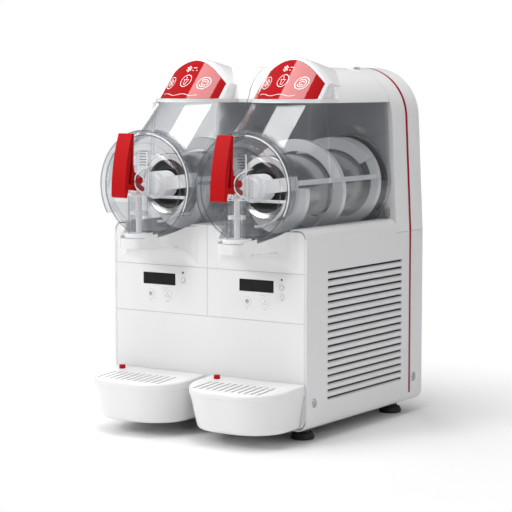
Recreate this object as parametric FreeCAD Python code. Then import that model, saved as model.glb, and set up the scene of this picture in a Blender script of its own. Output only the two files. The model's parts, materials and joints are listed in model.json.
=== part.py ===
"""Counter-top slushie machine with two bowls, built as separate sub-parts.

Millimetres, +Z up, front towards -Y. While the parts are built, y = 0 is the plane of the front
panels, x = 0 is the middle of the machine and z = 0 is the floor. Every part is shifted along y at
the end, so that the origin is the bottom centre of the whole machine's bounding box.
"""

import FreeCAD
import Part

import math
import os

V = FreeCAD.Vector

# ---- overall size ---------------------------------------------------------------------------
BODY_WIDTH = 390.0          # over the two side panels
BODY_DEPTH = 385.0          # front panels to rear panel
BODY_BOTTOM = 20.0          # underside of the casing
DECK_Z = 348.0              # flat deck beside the bowls
TOP_Z = 608.5               # top of the rear tower and of the lids
SKIN = 2.5                  # casing wall
GAP = 0.3                   # joint line between two panels
HALF = BODY_WIDTH / 2

# ---- casing ---------------------------------------------------------------------------------
SEAM_LOW = 196.0            # lower front panel to control panels
SEAM_HIGH = 276.5           # control panels to front cowls
SIDE_EDGE = 3.7             # side panel edge seen from the front
SIDE_BOTTOM_R = 18.0
SIDE_TOP_R = 16.0
TOWER_SEAM_Z = 324.0        # side panel to tower shell
TOWER_Y = 290.5             # front wall of the tower
SHOULDER_R = 88.0           # tower shoulder
SIDE_LEAN = 0.049           # the tower narrows by this much per millimetre of height
STRIPE_Y = 340.0
STRIPE_WIDTH = 6.5
LOUVRE_COUNT = 18
LOUVRE_Y = (64.4, 311.0)
LOUVRE_Z = (66.8, 273.9)
LOUVRE_SLOT = 5.4
SCREW_SITES = ((23.4, 65.5), (355.5, 64.0))
STOP_X = 177.5              # oval knobs beside the bowls
FOOT_X = 159.0
FOOT_Y = (45.0, 336.0)

# ---- bowls and what turns in them -----------------------------------------------------------
UNIT_X = 98.7               # each bowl's centre plane
AXIS_Z = 412.0              # auger axis
BOWL_R = 88.0               # rear, wide part of the bowl
NOSE_R = 85.0               # front, narrow part
BOWL_WALL = 3.0
RIM_Z = 549.0               # bowl rim
RIM_HALF = 79.5             # half width at the rim
BOWL_Y = (-38.0, 283.0)
SHOULDER_Y = 88.0           # where the narrow part meets the wide part
NOSE_RIM_R = 77.5           # plan radius of the leaning, rounded front at the rim
NOSE_RIM_Y = 125.0          # and its centre there
NOSE_LEAN = 1.013           # it comes this far forward per millimetre down
NOSE_FLARE = 0.055          # and its radius grows by this much
TROUGH_R = 92.0             # recess in the deck under a bowl
REAR_HOLE_R = 79.0
VISOR_R = 93.0
DRUM_R = 52.0
DRUM_Y = 25.0               # front of the evaporator drum
AUGER_R = 77.0
AUGER_PITCH = 115.0
SHAFT_R = 6.0
RUNNING_GAP = 0.08

# ---- tap ------------------------------------------------------------------------------------
TAP_Y = -57.0
TAP_R = 18.0
TAP_BORE = 15.0
TAP_FOOT_Z = 327.0
TAP_OPEN_Z = 396.0          # above this the tap housing is open to the front
PIVOT_Y = -78.0
PIVOT_Z = 423.0
PIVOT_R = 6.0
LEVER_HALF = 14.0
FORK_Z = 407.0              # height of the fork tips that lift the piston

RING_R = 23.5               # white ring round the tap's foot
OUTLET_R = 10.5             # hole in the shelf below it

# ---- shelf under each tap -------------------------------------------------------------------
SHELF_FLANK = ((80, SKIN), (80, 0), (64, -5, 20), (47, -40, 60), (17, -87, 14))   # half plan
SHELF_UNDER_Z = (309.0, 313.5)   # lower edge at the front and at the panel
ARCH_HALF = 79.0
ARCH_CORNER = 28.0
COVE_R = 34.0
SHELF_CUT_Y = -55.0         # the bowl's wide part slides forward as far as this

# ---- controls -------------------------------------------------------------------------------
DISPLAY = (67.2, 20.0)
DISPLAY_CENTRE = (-1.0, 253.0)      # from the bowl's centre plane, and height
LED = (48.3, 265.6)
POWER_KEY = (48.3, 253.3)
LIGHT_KEY = (48.3, 237.4)
CHILL_KEY = (-19.2, 226.5)
SPEED_KEY = (16.2, 226.5)
SMALL_KEY_R = 5.5
LARGE_KEY_R = 7.5
LEFT_KEYS = ((POWER_KEY, SMALL_KEY_R), (CHILL_KEY, LARGE_KEY_R), (SPEED_KEY, LARGE_KEY_R))
RIGHT_KEYS = LEFT_KEYS + ((LIGHT_KEY, SMALL_KEY_R),)

# ---- lids -----------------------------------------------------------------------------------
LID_FRONT_Y = 118.0
LID_FLANGE_Z = 556.0        # top of the rim that follows the bowl
LID_FLANGE_R = 79.5         # round part of that rim
LID_RISE_Y = 122.0          # the shoulder starts to rise here
LID_CREST_Y = 180.0         # and reaches the top here
LID_WALL = 3.0
SIGN_BASE_Z = 556.0
SIGN_CORNER_Z = 581.0       # top of the sign's straight sides
SIGN_TOP_Z = 620.0
SIGN_HALF = 62.8
SIGN_BORDER = 4.2
SIGN_R = 75.0               # the sign is part of a leaning round: plan radius,
SIGN_CENTRE_Y = 124.5       # centre at the sign's lower edge,
SIGN_LEAN = 0.926           # and set back per millimetre of height
HOOD_FRONT_Y = 30.0
HOOD_BACK_Y = 125.0
HINGE_Z = 608.4
HINGE_Y = 290.2

# ---- drip trays -----------------------------------------------------------------------------
TRAY_HALF = 93.3
TRAY_FRONT = -108.0
TRAY_CORNER = 70.0
TRAY_RIM_Z = 81.0
TRAY_BOTTOM_Z = 23.0
COVER_TOP = (98.0, 90.5)    # at the rear and at the front
FLOAT_AT = (-66.0, -20.0)   # from the bowl's centre plane, and y
FLOAT_HALF = 3.7            # its square post,
FLOAT_PROUD = 5.0           # and how far that stands above the cover

# ---- inside and behind ----------------------------------------------------------------------
FAN_Y = 187.0
FAN_Z = 157.0
CORD_X = -120.0
CORD_Z = 130.0
CORD_COIL_Z = 64.0
CORD_STAND_OFF = 14.0


# ---- helpers --------------------------------------------------------------------------------
def on_plane(u, v, plane, at):
    """A point from two in-plane coordinates: plane is 'xy', 'xz' or 'yz'."""
    if plane == "xy":
        return V(u, v, at)
    if plane == "xz":
        return V(u, at, v)
    return V(at, u, v)


def outline(points, plane, at=0.0):
    """Closed wire through (u, v) or (u, v, corner radius) points."""
    count = len(points)
    corners = []
    for i, point in enumerate(points):
        here = V(point[0], point[1], 0)
        radius = point[2] if len(point) > 2 else 0.0
        if radius <= 0:
            corners.append((here, here, here))
            continue
        before = points[i - 1]
        after = points[(i + 1) % count]
        to_before = (V(before[0], before[1], 0) - here).normalize()
        to_after = (V(after[0], after[1], 0) - here).normalize()
        half_angle = to_before.getAngle(to_after) / 2
        reach = radius / math.tan(half_angle)
        middle = (to_before + to_after).normalize()
        depth = radius / math.sin(half_angle) - radius
        corners.append((here + to_before * reach, here + middle * depth, here + to_after * reach))
    edges = []
    for i, (start, mid, end) in enumerate(corners):
        if start.distanceToPoint(end) > 1e-6:
            arc_points = [on_plane(p.x, p.y, plane, at) for p in (start, mid, end)]
            edges.append(Part.Arc(*arc_points).toShape())
        following = corners[(i + 1) % count][0]
        if end.distanceToPoint(following) > 1e-6:
            line_from = on_plane(end.x, end.y, plane, at)
            line_to = on_plane(following.x, following.y, plane, at)
            edges.append(Part.makeLine(line_from, line_to))
    return Part.Wire(edges)


def prism(points, plane, start, stop):
    """Outline extruded square to its plane, from start to stop."""
    direction = on_plane(0, 0, plane, stop - start)
    return Part.Face(outline(points, plane, start)).extrude(direction)


def block(x0, x1, y0, y1, z0, z1):
    return Part.makeBox(x1 - x0, y1 - y0, z1 - z0, V(x0, y0, z0))


def rod(radius, start, end):
    """Cylinder from one point to another."""
    axis = V(*end) - V(*start)
    return Part.makeCylinder(radius, axis.Length, V(*start), axis)


def tube(outer, inner, start, end):
    return rod(outer, start, end).cut(rod(inner, start, end))


def fuse(*shapes):
    body = shapes[0]
    for shape in shapes[1:]:
        body = body.fuse(shape)
    return body.removeSplitter()


def mirrored(shape):
    """The same part for the other side of the machine."""
    return shape.mirror(V(0, 0, 0), V(1, 0, 0))


def shifted(shape, x, y=0.0, z=0.0):
    moved = shape.copy()
    moved.translate(V(x, y, z))
    return moved


def rounded(shape, radius, keep):
    """Fillets the edges that keep(edge) accepts."""
    edges = [e for e in shape.Edges if keep(e)]
    return shape.makeFillet(radius, edges) if edges else shape


def pipe(radius, points, bend):
    """Bent tube, solid, through points with rounded corners."""
    edges = []
    start = V(*points[0])
    for i in range(1, len(points) - 1):
        corner = V(*points[i])
        back = (V(*points[i - 1]) - corner).normalize()
        ahead = (V(*points[i + 1]) - corner).normalize()
        half_angle = back.getAngle(ahead) / 2
        reach = bend / math.tan(half_angle)
        depth = bend / math.sin(half_angle) - bend
        middle = corner + (back + ahead).normalize() * depth
        edges.append(Part.makeLine(start, corner + back * reach))
        edges.append(Part.Arc(corner + back * reach, middle, corner + ahead * reach).toShape())
        start = corner + ahead * reach
    edges.append(Part.makeLine(start, V(*points[-1])))
    path = Part.Wire(edges)
    heading = V(*points[1]) - V(*points[0])
    section = Part.Wire(Part.makeCircle(radius, V(*points[0]), heading))
    return path.makePipeShell([section], True, False)


# ---- casing ---------------------------------------------------------------------------------
def side_x(z):
    """Outer face of the tower's side at a height."""
    return HALF - SIDE_LEAN * (z - TOWER_SEAM_Z)


def tower_points(inset=0.0, bottom=TOWER_SEAM_Z):
    """The tower's cross-section, seen from the front."""
    right = [
        (side_x(bottom) - inset, bottom),
        (side_x(TOP_Z) - inset, TOP_Z - inset, SHOULDER_R - inset),
    ]
    left = [(-p[0],) + p[1:] for p in reversed(right)]
    return right + left


def tower_ring(outer_inset, inner_inset, y0, y1, bottom=TOWER_SEAM_Z):
    outer = prism(tower_points(outer_inset, bottom), "xz", y0, y1)
    inner = prism(tower_points(inner_inset, bottom - 1), "xz", y0 - 1, y1 + 1)
    return outer.cut(inner)


def side_section(inset):
    """Cross-section of the right side panel's outer face, moved inwards by inset."""
    return [
        (HALF - 25, BODY_BOTTOM + inset),
        (HALF - inset, BODY_BOTTOM + inset, SIDE_BOTTOM_R - inset),
        (HALF - inset, DECK_Z - inset, SIDE_TOP_R - inset),
        (HALF - 25, DECK_Z - inset),
    ]


def casing_opening(inset, y0, y1):
    """The space between the two side panels, seen from the front."""
    edge = HALF - inset
    low, high = BODY_BOTTOM + inset, DECK_Z - inset
    bottom_r, top_r = SIDE_BOTTOM_R - inset, SIDE_TOP_R - inset
    return prism([(-edge, low, bottom_r), (edge, low, bottom_r), (edge, high, top_r), (-edge, high, top_r)],
                 "xz", y0, y1)


def side_panel():
    """Right side panel: skin, rolled edges, front flange, screw wells and louvres."""
    panel = prism(side_section(0), "xz", 0, BODY_DEPTH)
    panel = panel.cut(prism(side_section(SKIN), "xz", -1, BODY_DEPTH + 1))
    flange = block(HALF - 15, HALF - 2, 3.4, 5.4, BODY_BOTTOM + 6, DECK_Z - 6)
    edge = block(HALF - SIDE_EDGE, HALF - 1, 0, 5.4, BODY_BOTTOM + 17, DECK_Z - 15)
    panel = fuse(panel, flange, edge)
    top_notch = block(HALF - 40, HALF + 1, TOWER_Y, BODY_DEPTH + 1, TOWER_SEAM_Z - GAP, DECK_Z + 1)
    panel = panel.cut(top_notch)
    half_stripe = STRIPE_WIDTH / 2 + 0.1
    groove = block(HALF - 0.9, HALF + 1, STRIPE_Y - half_stripe, STRIPE_Y + half_stripe,
                   BODY_BOTTOM + SIDE_BOTTOM_R, DECK_Z)
    panel = panel.cut(groove)
    for y, z in SCREW_SITES:
        well = rod(11, (HALF - 7, y, z), (HALF - 1, y, z))
        panel = fuse(panel, well)
        panel = panel.cut(rod(8, (HALF - 5, y, z), (HALF + 1, y, z)))
        panel = panel.cut(rod(2.6, (HALF - 9, y, z), (HALF, y, z)))
    return louvred(panel)


def louvred(panel):
    pitch = (LOUVRE_Z[1] - LOUVRE_Z[0]) / (LOUVRE_COUNT - 1)
    slots = []
    blades = []
    y0, y1 = LOUVRE_Y
    for i in range(LOUVRE_COUNT):
        low = LOUVRE_Z[0] + i * pitch - LOUVRE_SLOT / 2
        high = low + LOUVRE_SLOT
        slots.append(block(HALF - SKIN - 1, HALF + 1, y0, y1, low, high))
        section = [
            (HALF - 0.4, low - 0.2),
            (HALF - 7.0, high + 0.6),
            (HALF - 7.0, high - 0.9),
            (HALF - 1.4, low - 1.2),
        ]
        blades.append(prism(section, "xz", y0 - 1, y1 + 1))
    panel = panel.cut(Part.makeCompound(slots))
    return fuse(panel, *blades)


def front_plate(x0, x1, z0, z1):
    """Flat front panel with a folded rim behind it."""
    plate = block(x0, x1, 0, SKIN, z0, z1)
    rim_x0 = max(x0, -HALF + 17)
    rim_x1 = min(x1, HALF - 17)
    rim = block(rim_x0, rim_x1, SKIN - 0.5, 8, z0, z1)
    rim = rim.cut(block(rim_x0 + 2, rim_x1 - 2, 0, 9, z0 + 2, z1 - 2))
    return fuse(plate, rim)


def lower_front_panel():
    edge = HALF - SIDE_EDGE - GAP
    panel = front_plate(-edge, edge, BODY_BOTTOM + 2, SEAM_LOW - GAP / 2)
    return panel.common(casing_opening(SIDE_EDGE + GAP, -1, 20))


def control_panel(side, keys):
    """Control panel of one side (-1 or +1) with its display window, lamp hole and key holes."""
    centre = side * UNIT_X
    outer = side * (HALF - SIDE_EDGE - GAP)
    inner = side * GAP / 2
    panel = front_plate(min(outer, inner), max(outer, inner), SEAM_LOW + GAP / 2, SEAM_HIGH - GAP / 2)
    x, z = centre + DISPLAY_CENTRE[0], DISPLAY_CENTRE[1]
    half_w, half_h = DISPLAY[0] / 2, DISPLAY[1] / 2
    holes = [block(x - half_w, x + half_w, -1, 9, z - half_h, z + half_h)]
    holes.append(rod(1.7, (centre + LED[0], -1, LED[1]), (centre + LED[0], 4, LED[1])))
    for (dx, key_z), radius in keys:
        holes.append(rod(radius + 0.25, (centre + dx, -1, key_z), (centre + dx, 4, key_z)))
    return panel.cut(Part.makeCompound(holes))


def key(side, place, radius):
    """Push key: cap flush with the panel, a collar behind it and a plunger."""
    x, z = side * UNIT_X + place[0], place[1]
    cap = rod(radius, (x, -0.3, z), (x, SKIN + 0.9, z))
    collar = rod(radius + 1.2, (x, SKIN + 0.3, z), (x, SKIN + 1.7, z))
    plunger = rod(2.5, (x, SKIN, z), (x, 7.4, z))
    return fuse(cap, collar, plunger)


def display_windows():
    """Dark display windows and the clear lamp lenses beside them."""
    windows = []
    for side in (-1, 1):
        x, z = side * UNIT_X + DISPLAY_CENTRE[0], DISPLAY_CENTRE[1]
        half_w, half_h = DISPLAY[0] / 2 - 0.2, DISPLAY[1] / 2 - 0.2
        windows.append(block(x - half_w, x + half_w, 0.3, 3.5, z - half_h, z + half_h))
        lamp_x = side * UNIT_X + LED[0]
        windows.append(rod(1.5, (lamp_x, -0.3, LED[1]), (lamp_x, 3.5, LED[1])))
    return Part.makeCompound(windows)


def control_boards():
    """Circuit boards behind the control panels, each with its display module."""
    boards = []
    for side in (-1, 1):
        x = side * UNIT_X
        board = block(x - 68, x + 68, 9.0, 10.6, SEAM_LOW + 12, SEAM_HIGH - 5)
        module = block(x - 38, x + 36, 4.2, 9.5, DISPLAY_CENTRE[1] - 14, DISPLAY_CENTRE[1] + 14)
        boards.append(fuse(board, module))
    return Part.makeCompound(boards)


def trough(radius, y0, y1, side):
    x = side * UNIT_X
    return rod(radius, (x, y0, AXIS_Z), (x, y1, AXIS_Z))


def tap_shelf(side):
    """Thick lip with an arched underside that curves down into the panel, and small recesses in it."""
    centre = side * UNIT_X
    left = [(centre - p[0],) + p[1:] for p in SHELF_FLANK]
    right = [(centre + p[0],) + p[1:] for p in reversed(SHELF_FLANK)]
    shelf = prism(left + right, "xy", SEAM_HIGH + GAP / 2, DECK_Z)
    front_z, back_z = SHELF_UNDER_Z
    cove = [(-100, 262), (-100, front_z), (0, back_z, COVE_R), (0, 262)]
    cove = prism(cove, "yz", centre - 90, centre + 90)
    arch = prism([(centre - ARCH_HALF, 262), (centre - ARCH_HALF, back_z, ARCH_CORNER),
                  (centre + ARCH_HALF, back_z, ARCH_CORNER), (centre + ARCH_HALF, 262)], "xz", -100, 0)
    shelf = shelf.cut(cove.common(arch))
    recesses = [rod(5, (centre + x, -25, 300), (centre + x, -25, 313)) for x in (-50, 50)]
    recesses.append(rod(3.5, (centre, -14, 290), (centre, -14, 308)))
    return shelf.cut(Part.makeCompound(recesses)).common(casing_opening(SIDE_EDGE + GAP, -100, 20))


def front_cowl(side):
    """Upper front panel with the shelf under the tap. Its top edge follows the bowl's trough."""
    centre = side * UNIT_X
    outer = side * (HALF - SIDE_EDGE - GAP)
    inner = side * GAP / 2
    x0, x1 = min(outer, inner), max(outer, inner)
    low = SEAM_HIGH + GAP / 2
    deck_edge = HALF - 25 - GAP
    shell = block(x0, x1, 0, SKIN, low, DECK_Z).common(casing_opening(SIDE_EDGE + GAP, -1, 20))
    deep_x0, deep_x1 = max(x0, -deck_edge), min(x1, deck_edge)
    shell = shell.fuse(block(deep_x0, deep_x1, 0, 14, low, DECK_Z))
    hollow = block(deep_x0 + SKIN, deep_x1 - SKIN, SKIN, 15, low - 1, DECK_Z - SKIN)
    hollow = hollow.cut(trough(TROUGH_R + SKIN, 0, 16, side))
    shell = fuse(shell, tap_shelf(side))
    shell = shell.cut(trough(TROUGH_R, SHELF_CUT_Y, 20, side))
    shell = shell.cut(trough(NOSE_R + 0.6, -100, SHELF_CUT_Y, side))
    ring_way = rod(RING_R + 0.7, (centre, TAP_Y, TAP_FOOT_Z - 0.6), (centre, TAP_Y, DECK_Z))
    slide_way = block(centre - RING_R - 0.7, centre + RING_R + 0.7, -100, TAP_Y, TAP_FOOT_Z - 0.6, DECK_Z)
    outlet = rod(OUTLET_R, (centre, TAP_Y, 290), (centre, TAP_Y, DECK_Z))
    return shell.cut(hollow).cut(ring_way).cut(slide_way).cut(outlet)


def top_deck():
    """Deck under both bowls: two half-round troughs in one moulding."""
    edge = HALF - 25 - GAP
    deck = block(-edge, edge, 14 + GAP, TOWER_Y - GAP, 302, DECK_Z)
    cavity = block(-edge + 3, edge - 3, 17, TOWER_Y - 3, 301, DECK_Z - 3)
    for side in (-1, 1):
        deck = deck.cut(trough(TROUGH_R, 0, BODY_DEPTH, side))
        cavity = cavity.cut(trough(TROUGH_R + 3, 0, BODY_DEPTH, side))
    return deck.cut(cavity)


def tower_shell():
    """Front half of the tower: outer skin and the wall behind the bowls."""
    y1 = STRIPE_Y - STRIPE_WIDTH / 2 - 0.1
    skin = tower_ring(0, SKIN, TOWER_Y, y1)
    wall = prism(tower_points(1.0, TOWER_SEAM_Z), "xz", TOWER_Y, TOWER_Y + 3)
    shell = fuse(skin, wall)
    holes = [rod(30, (s * UNIT_X, TOWER_Y - 1, AXIS_Z), (s * UNIT_X, TOWER_Y + 5, AXIS_Z)) for s in (-1, 1)]
    knuckles = [rod(2.7, (s * UNIT_X - 20.5, HINGE_Y, HINGE_Z), (s * UNIT_X + 20.5, HINGE_Y, HINGE_Z))
                for s in (-1, 1)]
    return shell.cut(Part.makeCompound(holes + knuckles))


def tower_rear_cover():
    y0 = STRIPE_Y + STRIPE_WIDTH / 2 + 0.1
    skin = tower_ring(0, SKIN, y0, BODY_DEPTH)
    back = prism(tower_points(1.0, TOWER_SEAM_Z), "xz", BODY_DEPTH - SKIN, BODY_DEPTH)
    cover = fuse(skin, back)
    vents = []
    for i in range(9):
        z = 430 + i * 13
        vents.append(prism(
            [(-70, z, 2.4), (70, z, 2.4), (70, z + 5, 2.4), (-70, z + 5, 2.4)],
            "xz", BODY_DEPTH - 6, BODY_DEPTH + 1,
        ))
    return cover.cut(Part.makeCompound(vents))


def rear_panel():
    """Lower rear panel with vent slots and the power cord's hole."""
    panel = casing_opening(SKIN + GAP, BODY_DEPTH - SKIN, BODY_DEPTH)
    panel = panel.common(block(-HALF, HALF, 0, BODY_DEPTH, 0, TOWER_SEAM_Z - GAP))
    cuts = [rod(7.2, (CORD_X, BODY_DEPTH - 6, CORD_Z), (CORD_X, BODY_DEPTH + 1, CORD_Z))]
    for column in (-62, 62):
        for i in range(13):
            z = 110 + i * 13
            cuts.append(prism(
                [(column - 48, z, 2.4), (column + 48, z, 2.4),
                 (column + 48, z + 5, 2.4), (column - 48, z + 5, 2.4)],
                "xz", BODY_DEPTH - 6, BODY_DEPTH + 1,
            ))
    return panel.cut(Part.makeCompound(cuts))


def trim_stripe():
    """Thin coloured trim: an arch over the tower and a strip down each side panel."""
    y0, y1 = STRIPE_Y - STRIPE_WIDTH / 2, STRIPE_Y + STRIPE_WIDTH / 2
    arch = tower_ring(-0.3, 1.9, y0, y1)
    low = BODY_BOTTOM + SIDE_BOTTOM_R
    strip = block(HALF - 0.8, HALF + 0.0, y0, y1, low, TOWER_SEAM_Z - GAP)
    return Part.makeCompound([arch, strip, mirrored(strip)])


def panel_screws():
    """Screws that hold the side panels, sunk in their wells."""
    screws = []
    for y, z in SCREW_SITES:
        head = rod(5.5, (HALF - 4.9, y, z), (HALF - 2.6, y, z))
        shank = rod(2.3, (HALF - 16, y, z), (HALF - 4, y, z))
        slot = block(HALF - 3.6, HALF, y - 3, y + 3, z - 0.6, z + 0.6)
        cross = block(HALF - 3.6, HALF, y - 0.6, y + 0.6, z - 3, z + 3)
        screw = fuse(head, shank).cut(Part.makeCompound([slot, cross]))
        screws += [screw, mirrored(screw)]
    return Part.makeCompound(screws)


def base_pan():
    edge = HALF - 25.5
    pan = block(-edge, edge, 9, BODY_DEPTH - 6, BODY_BOTTOM, BODY_BOTTOM + 2)
    rim = block(-edge, edge, 9, BODY_DEPTH - 6, BODY_BOTTOM, BODY_BOTTOM + 14)
    rim = rim.cut(block(-edge + 2, edge - 2, 11, BODY_DEPTH - 8, BODY_BOTTOM - 1, BODY_BOTTOM + 15))
    pan = fuse(pan, rim)
    holes = [rod(4.1, (x, y, BODY_BOTTOM - 1), (x, y, BODY_BOTTOM + 4))
             for x in (-FOOT_X, FOOT_X) for y in FOOT_Y]
    return pan.cut(Part.makeCompound(holes))


def rubber_feet():
    profile = [(0, 0), (19, 0, 1.5), (20, 4, 2), (17, 11, 3), (12, 12, 2),
               (12, BODY_BOTTOM - 0.1), (4, BODY_BOTTOM - 0.1),
               (4, BODY_BOTTOM + 8), (0, BODY_BOTTOM + 8)]
    foot = Part.Face(outline(profile, "xz")).revolve(V(0, 0, 0), V(0, 0, 1), 360)
    return Part.makeCompound([shifted(foot, x, y) for x in (-FOOT_X, FOOT_X) for y in FOOT_Y])


def chassis_frame():
    """Folded-steel frame: rear bulkhead, front posts, side rails and a cross rail."""
    floor = BODY_BOTTOM + 2.1
    wall = block(-150, 150, 300, 302, floor, 500)
    for side in (-1, 1):
        wall = wall.cut(rod(22, (side * UNIT_X, 298, AXIS_Z), (side * UNIT_X, 304, AXIS_Z)))
    pieces = [wall]
    for side in (-1, 1):
        post = block(150, 166, 14, 16, floor, 296)
        post_web = block(164, 166, 14, 30, floor, 296)
        rail = block(164, 166, 14, 302, 280, 298)
        bracket = block(148, 166, 300, 302, 200, 298)
        group = fuse(post, post_web, rail, bracket)
        pieces.append(group if side > 0 else mirrored(group))
    pieces.append(block(-166, 166, 14, 16, 280, 298))
    return fuse(*pieces)


# ---- cooling and drive ----------------------------------------------------------------------
def evaporators():
    """Stainless drums that freeze the mix, each with its flange on the tower wall."""
    drums = []
    for side in (-1, 1):
        x = side * UNIT_X
        profile = [
            (SHAFT_R + 3, DRUM_Y + 3), (11.2, DRUM_Y + 3), (11.2, DRUM_Y), (DRUM_R, DRUM_Y, 4), (DRUM_R, 283.6),
            (84, 283.6, 1), (84, 290.2), (28, 290.2), (28, 299), (SHAFT_R + 3, 299),
        ]
        hollow = [(14, DRUM_Y + 4), (DRUM_R - 2, DRUM_Y + 4), (DRUM_R - 2, 284), (14, 284)]
        drum = Part.Face(outline(profile, "xy")).revolve(V(0, 0, 0), V(0, 1, 0), 360)
        drum = drum.cut(Part.Face(outline(hollow, "xy")).revolve(V(0, 0, 0), V(0, 1, 0), 360))
        drums.append(shifted(drum, x, 0, AXIS_Z))
    return Part.makeCompound(drums)


def bowl_gaskets():
    rings = []
    for side in (-1, 1):
        x = side * UNIT_X
        rings.append(tube(REAR_HOLE_R - 0.5, 74, (x, 276.5, AXIS_Z), (x, 283.5, AXIS_Z)))
    return Part.makeCompound(rings)


def shaft_seals():
    rings = []
    for side in (-1, 1):
        x = side * UNIT_X
        rings.append(tube(11.1, SHAFT_R + 0.1, (x, DRUM_Y - 1.5, AXIS_Z), (x, DRUM_Y + 2.9, AXIS_Z)))
    return Part.makeCompound(rings)


def gearmotors():
    """Gearbox and motor of each auger, bolted to the bulkhead."""
    motors = []
    for side in (-1, 1):
        x = side * UNIT_X
        box = block(x - 38, x + 38, 302.1, 334, AXIS_Z - 40, AXIS_Z + 40)
        motor = rod(33, (x, 333, AXIS_Z + 4), (x, 376, AXIS_Z + 4))
        bore = rod(SHAFT_R + RUNNING_GAP, (x, 301, AXIS_Z), (x, 326, AXIS_Z))
        motors.append(fuse(box, motor).cut(bore))
    return Part.makeCompound(motors)


def drive_shaft(side):
    x = side * UNIT_X
    return rod(SHAFT_R, (x, 6, AXIS_Z), (x, 325, AXIS_Z))


def auger(side):
    """Plastic scraper: front hub and cross arm, two long bars, a rear ring and a helical ribbon."""
    bar_angle = math.radians(8)
    hub = rod(23, (0, -14, 0), (0, 21, 0)).fuse(rod(16, (0, -20, 0), (0, -13, 0)))
    arm = block(-72, 72, -8, 12, -11, 11)
    bars = [block(60, 74.5, -8, 265, -4, 4), block(-74.5, -60, -8, 265, -4, 4)]
    frame = fuse(hub, arm, *bars)
    frame.rotate(V(0, 0, 0), V(0, 1, 0), -math.degrees(bar_angle))
    ring = tube(AUGER_R - 0.5, 62, (0, 260, 0), (0, 271, 0))
    ribbon = helical_ribbon(32, 251)
    low_arm = Part.makeTorus(62, 2.2, V(0, -5, 0), V(0, 1, 0)).common(block(0, 80, -9, -1, -80, -18))
    low_bar = rod(2.6, (4, -5, -20), (60.5, -5, -20))
    body = fuse(frame, ring, ribbon, low_arm, low_bar)
    body = body.cut(rod(SHAFT_R + 0.05, (0, 5.9, 0), (0, 30, 0)))
    return shifted(body, side * UNIT_X, 0, AXIS_Z)


def helical_ribbon(y0, y1):
    """Rectangular ribbon on a helix about the y axis."""
    inner, half_width = 57.0, 5.5
    middle = (inner + AUGER_R) / 2
    path = Part.makeHelix(AUGER_PITCH, y1 - y0, middle)
    section = Part.Wire(Part.makePolygon([
        V(inner, 0, -half_width), V(AUGER_R, 0, -half_width), V(AUGER_R, 0, half_width),
        V(inner, 0, half_width), V(inner, 0, -half_width),
    ]))
    ribbon = Part.Wire(path).makePipeShell([section], True, True)
    ribbon.rotate(V(0, 0, 0), V(1, 0, 0), -90)
    ribbon.translate(V(0, y0, 0))
    return ribbon


def compressor():
    body = rod(60, (-88, 205, 34), (-88, 205, 168))
    body = rounded(body, 22, lambda e: isinstance(e.Curve, Part.Circle))
    plate = block(-158, -18, 175, 235, BODY_BOTTOM + 2.2, 36)
    return fuse(body, plate)


def condenser():
    core = block(126, 158, 70, 294, 44, 270)
    slots = [block(125, 159, 78 + i * 8, 83 + i * 8, 52, 262) for i in range(26)]
    return core.cut(Part.makeCompound(slots))


def fan_shroud():
    shroud = block(100, 125.5, 74, 292, 44, 270)
    inner = block(102, 127, 76, 290, 46, 268)
    opening = rod(88, (95, FAN_Y, FAN_Z), (128, FAN_Y, FAN_Z))
    ring = tube(90, 88, (100, FAN_Y, FAN_Z), (118, FAN_Y, FAN_Z))
    return fuse(shroud.cut(inner), ring).cut(opening)


def fan_rotor():
    hub = rod(18, (100, FAN_Y, FAN_Z), (116, FAN_Y, FAN_Z))
    blades = []
    for i in range(5):
        blade = block(106.8, 109.2, FAN_Y - 16, FAN_Y + 16, FAN_Z + 14, FAN_Z + 82)
        blade.rotate(V(108, FAN_Y, FAN_Z), V(0, 0, 1), 24)
        blade.rotate(V(108, FAN_Y, FAN_Z), V(1, 0, 0), 72 * i)
        blades.append(blade)
    rotor = fuse(hub, *blades)
    return rotor.cut(rod(4 + RUNNING_GAP, (98, FAN_Y, FAN_Z), (112, FAN_Y, FAN_Z)))


def fan_motor():
    can = rod(32, (48, FAN_Y, FAN_Z), (90, FAN_Y, FAN_Z))
    spindle = rod(4, (88, FAN_Y, FAN_Z), (111, FAN_Y, FAN_Z))
    foot = block(55, 85, FAN_Y - 20, FAN_Y + 20, BODY_BOTTOM + 2.2, FAN_Z - 28)
    return fuse(can, spindle, foot)


def refrigerant_lines():
    """Copper lines between compressor, condenser and the two drums."""
    discharge = pipe(3, [(-60, 205, 168.5), (-60, 205, 282), (142, 205, 282), (142, 205, 270.5)], 6)
    lines = [discharge]
    for side in (-1, 1):
        x = side * UNIT_X
        feed = pipe(2.4, [(x - 60, 296.8, 305), (x - 60, 296.8, 460), (x, 296.8, 460), (x, 296.8, 440.5)], 5)
        lines.append(feed)
    return Part.makeCompound(lines)


def power_cord():
    """Cord hung in a coil behind the machine, ending in a plug."""
    turns = []
    for i in range(3):
        y = BODY_DEPTH + CORD_STAND_OFF + 7.0 * i
        turns.append(Part.makeTorus(46 - i * 2, 3.6, V(CORD_X, y, CORD_COIL_Z), V(0, 1, 0)))
    near, far = BODY_DEPTH + CORD_STAND_OFF, BODY_DEPTH + CORD_STAND_OFF + 14
    links = [rod(2.6, (CORD_X + 43, near, CORD_COIL_Z), (CORD_X + 43, far, CORD_COIL_Z))]
    run = [(CORD_X, BODY_DEPTH - 8, CORD_Z), (CORD_X, near, CORD_Z), (CORD_X, near, CORD_COIL_Z + 44)]
    tail = pipe(3.6, run, 9)
    plug = rounded(block(CORD_X - 13, CORD_X + 13, BODY_DEPTH + 6, BODY_DEPTH + 30, 8, 44), 4,
                   lambda e: abs(e.tangentAt(e.FirstParameter).z) > 0.9)
    return fuse(*turns, *links, tail, plug)


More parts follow.
